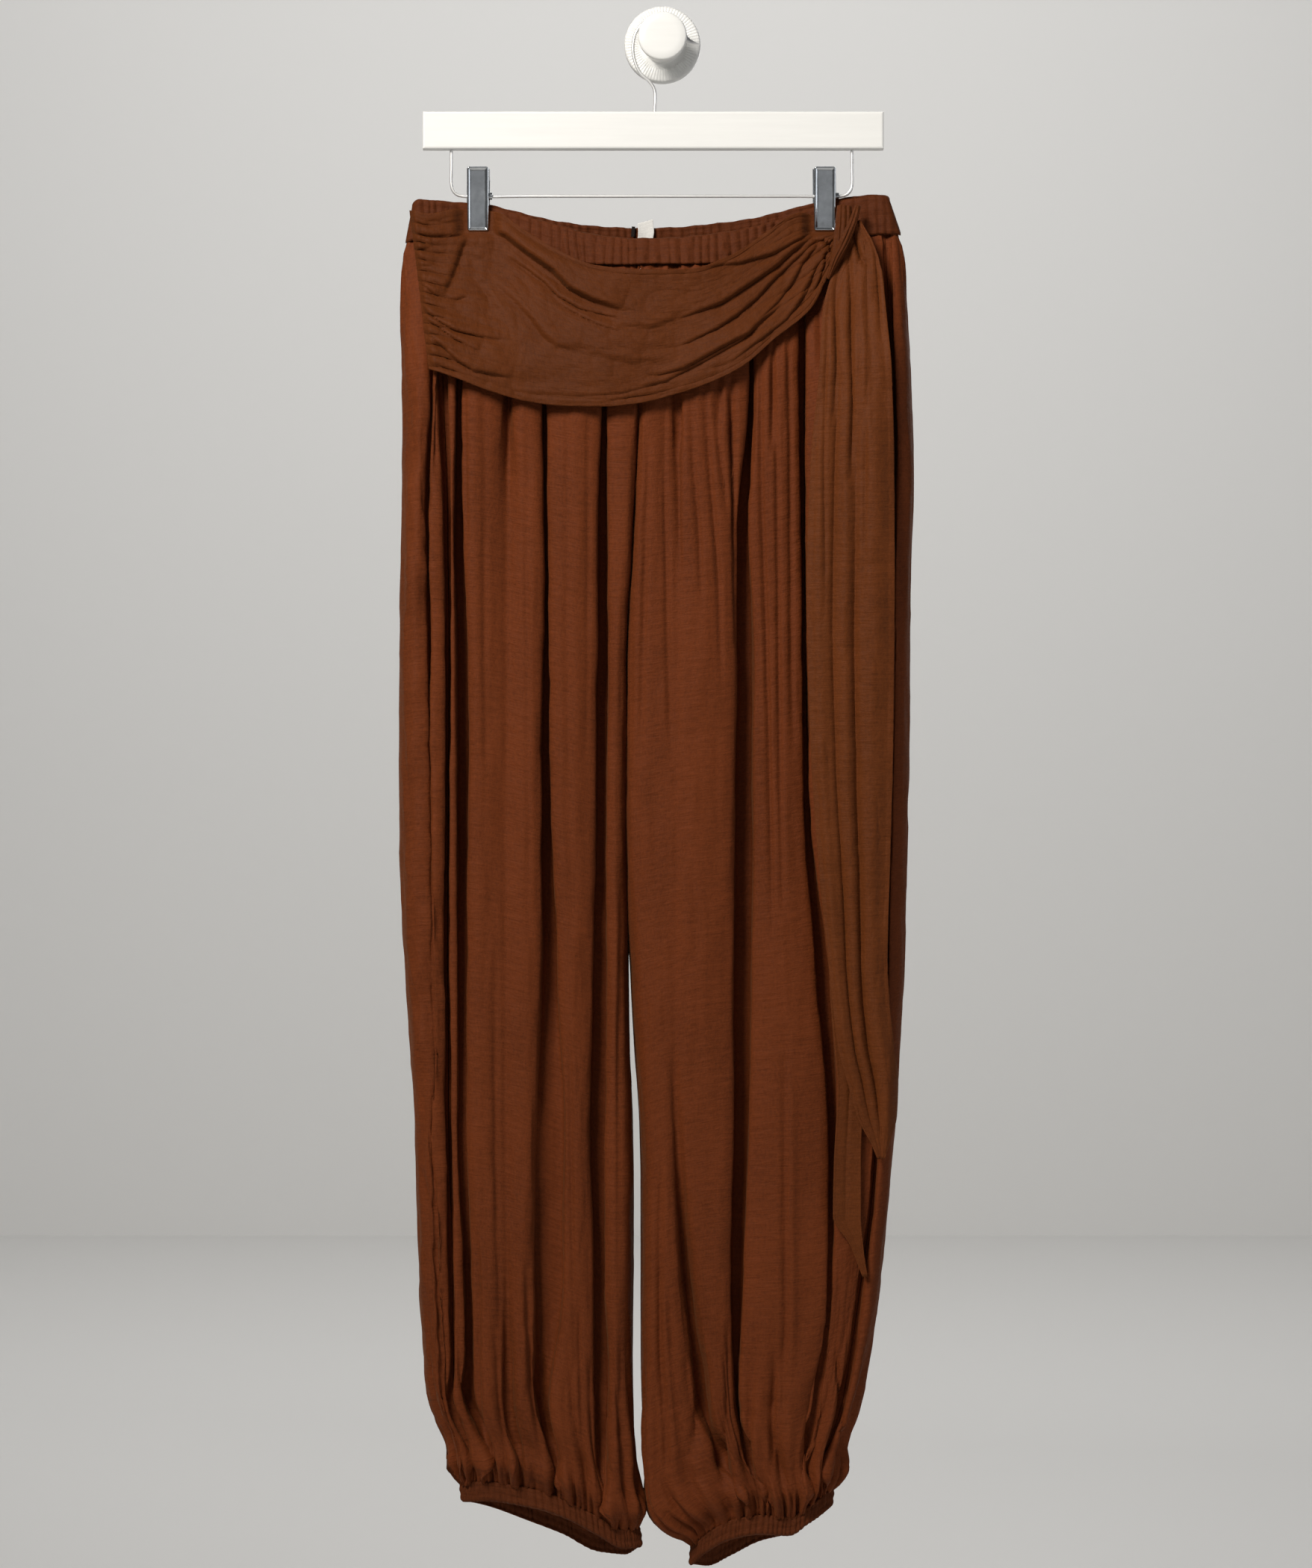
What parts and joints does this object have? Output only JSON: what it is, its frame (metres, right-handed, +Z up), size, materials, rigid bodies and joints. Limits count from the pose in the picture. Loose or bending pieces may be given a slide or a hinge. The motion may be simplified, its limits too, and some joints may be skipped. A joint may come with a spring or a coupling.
{
  "type": "balloon pants on clip hanger",
  "caption": "Balloon pants with a gathered waist, draped sash tied at the hip and elastic cuffs, hanging from a clip hanger on a wall knob.",
  "frame": {"origin": "centre of the wall knob's back face, which lies on the wall", "axes": "+Z up, +Y into the wall, the garment's front faces -Y"},
  "size_m": [0.397, 0.0751, 1.212],
  "materials": {
    "cloth": "matte",
    "sash_cloth": "matte",
    "label": "matte",
    "dark_label": "matte",
    "chrome": "polished",
    "white_paint": "satin"
  },
  "bodies": {
    "root": {"wall_knob": "white_paint", "hanger_hook": "chrome", "hanger_bar": "white_paint", "hanger_rail": "chrome", "clip_left_front": "chrome", "clip_left_back": "chrome", "clip_left_sleeve": "chrome", "clip_right_front": "chrome", "clip_right_back": "chrome", "clip_right_sleeve": "chrome", "waistband_front": "cloth", "waistband_back": "cloth", "leg_front_left": "cloth", "leg_front_right": "cloth", "leg_back_left": "cloth", "leg_back_right": "cloth", "cuff_left": "cloth", "cuff_right": "cloth", "sash": "sash_cloth", "tie_end_front": "sash_cloth", "tie_end_back": "sash_cloth", "knot_wrap": "sash_cloth", "knot_under": "sash_cloth", "care_label": "label", "size_label": "dark_label"}
  },
  "joints": []
}
